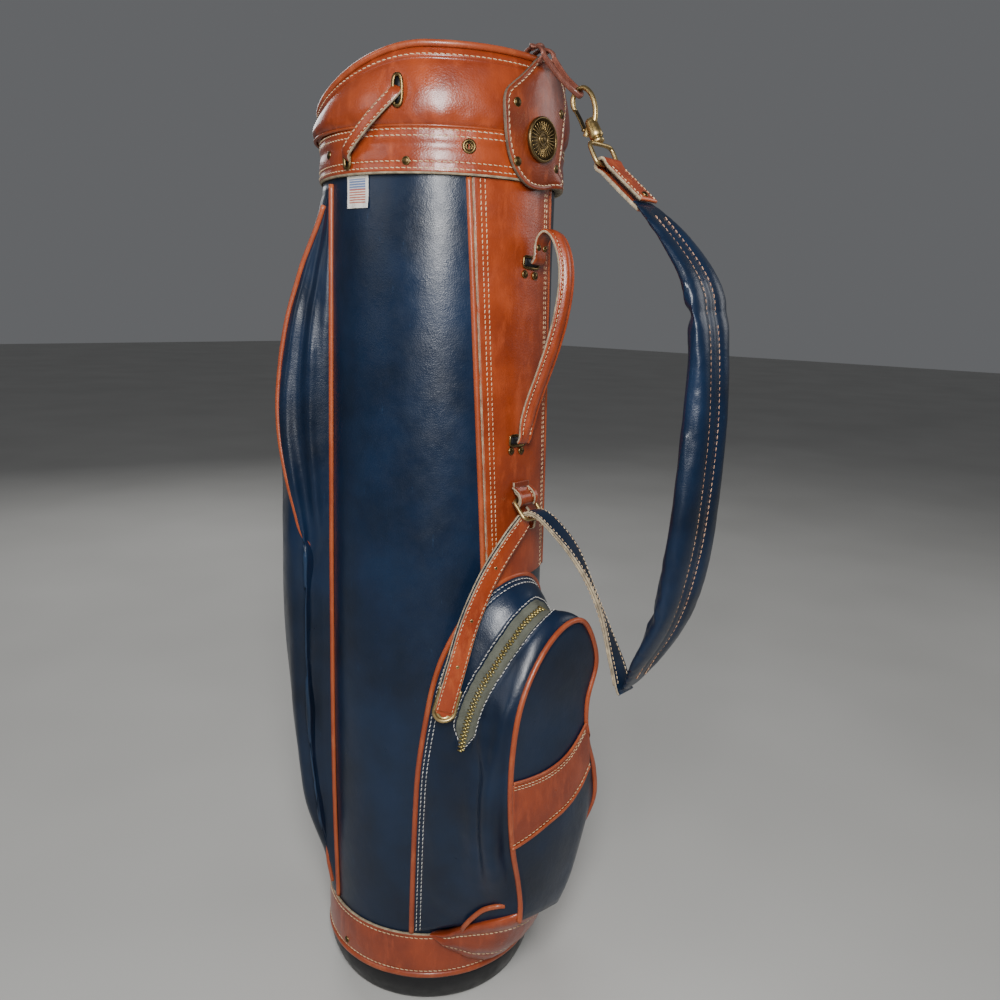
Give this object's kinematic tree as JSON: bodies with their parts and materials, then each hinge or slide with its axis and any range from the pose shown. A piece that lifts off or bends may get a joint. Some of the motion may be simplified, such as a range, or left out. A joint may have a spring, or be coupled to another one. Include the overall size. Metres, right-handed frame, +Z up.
{
  "type": "golf bag",
  "caption": "Round leathercloth golf bag with padded cuff, three-way divider, shoulder strap on a snap hook, carry handle and two zipped pockets.",
  "frame": {"origin": "middle of the flat base, on the floor", "axes": "+Z up the bag; -Y is the carrying side with handle, strap and ball pocket; +X to the right of someone facing the carrying side"},
  "size_m": [0.2313, 0.4319, 0.8597],
  "materials": {
    "tan_leather": "glossy finished leather",
    "navy_vinyl": "glossy grained vinyl leathercloth",
    "antique_brass": "worn satin",
    "black_boot": "satin moulded",
    "dark_lace": "matt waxed",
    "zip_tape": "woven tape with brass teeth",
    "dark_lining": "matt woven lining",
    "white_label": "woven label"
  },
  "bodies": {
    "bag": {"bottom_belt": "tan_leather", "spine_panel": "tan_leather", "cuff_band": "tan_leather", "cuff_collar": "tan_leather", "rim_welt": "tan_leather", "tag_strap": "tan_leather", "shield_flap": "tan_leather", "chape": "tan_leather", "strap_tail": "tan_leather", "ball_pocket_band": "tan_leather", "ball_pocket_base": "tan_leather", "body_shell": "navy_vinyl", "ball_pocket": "navy_vinyl", "long_pocket_back": "navy_vinyl", "long_pocket_left": "navy_vinyl", "long_pocket_right": "navy_vinyl", "tag_grommet": "antique_brass", "tag_slot_eyelet": "antique_brass", "snap_socket": "antique_brass", "cuff_rivet_1": "antique_brass", "cuff_rivet_2": "antique_brass", "badge": "antique_brass", "shield_rivet_1": "antique_brass", "shield_rivet_2": "antique_brass", "shield_rivet_3": "antique_brass", "shield_rivet_4": "antique_brass", "handle_plate_top": "antique_brass", "handle_plate_bottom": "antique_brass", "handle_rivet_1": "antique_brass", "handle_rivet_2": "antique_brass", "handle_rivet_3": "antique_brass", "handle_rivet_4": "antique_brass", "buckle_loop": "antique_brass", "tail_cap": "antique_brass", "base_boot": "black_boot", "ball_zip_chain": "zip_tape", "long_zip_chain": "zip_tape", "floor_pad": "dark_lining", "top_liner": "dark_lining", "divider_hoop": "dark_lining", "divider_panels": "dark_lining", "woven_label": "white_label"},
    "shoulder_strap": {"lace": "dark_lace", "hook_eye": "antique_brass", "strap_tip": "tan_leather", "strap_pad": "navy_vinyl", "narrow_strap": "navy_vinyl"},
    "hook": {"snap_hook": "antique_brass"},
    "gate": {"hook_gate": "antique_brass"},
    "handle": {"carry_handle": "tan_leather"},
    "ball_slider": {"ball_zip_slider": "antique_brass"},
    "ball_pull": {"ball_zip_pull": "antique_brass"},
    "long_slider": {"long_zip_slider": "antique_brass"},
    "long_pull": {"long_zip_pull": "antique_brass"}
  },
  "joints": [
    {"name": "strap_swing", "type": "hinge", "parent": "bag", "child": "shoulder_strap", "pos_m": [0, -0.112, 0.497], "axis": [0, -0.0223, 0.9998], "range_deg": [-40, 40]},
    {"name": "hook_swivel", "type": "hinge", "parent": "shoulder_strap", "child": "hook", "pos_m": [0, -0.152, 0.828], "axis": [0, -0.4886, -0.8725], "range_deg": [-12, 12]},
    {"name": "gate_opening", "type": "hinge", "parent": "hook", "child": "gate", "pos_m": [0, -0.16052, 0.79724], "axis": [1, 0, 0], "range_deg": [0, 25], "stiffness_Nm_per_rad": 0.02, "springref_deg": -11.46},
    {"name": "handle_swing", "type": "hinge", "parent": "bag", "child": "handle", "pos_m": [0, -0.1154, 0.625], "axis": [0.0699, 0, 0.9976], "range_deg": [-35, 35]},
    {"name": "ball_zip_run", "type": "hinge", "parent": "bag", "child": "ball_slider", "pos_m": [-0.061, -0.10904, 0.29364], "axis": [0, -0.976, -0.2179], "range_deg": [0, 50]},
    {"name": "ball_pull_flip", "type": "hinge", "parent": "ball_slider", "child": "ball_pull", "pos_m": [0.07589, -0.10925, 0.29459], "axis": [0, -0.976, -0.2179], "range_deg": [0, 150]},
    {"name": "long_zip_run", "type": "slide", "parent": "bag", "child": "long_slider", "axis": [0, 0, -1], "range_m": [0, 0.43]},
    {"name": "long_pull_flip", "type": "hinge", "parent": "long_slider", "child": "long_pull", "pos_m": [0.1087, 0.055, 0.625], "axis": [0, -1, 0], "range_deg": [0, 150]}
  ]
}
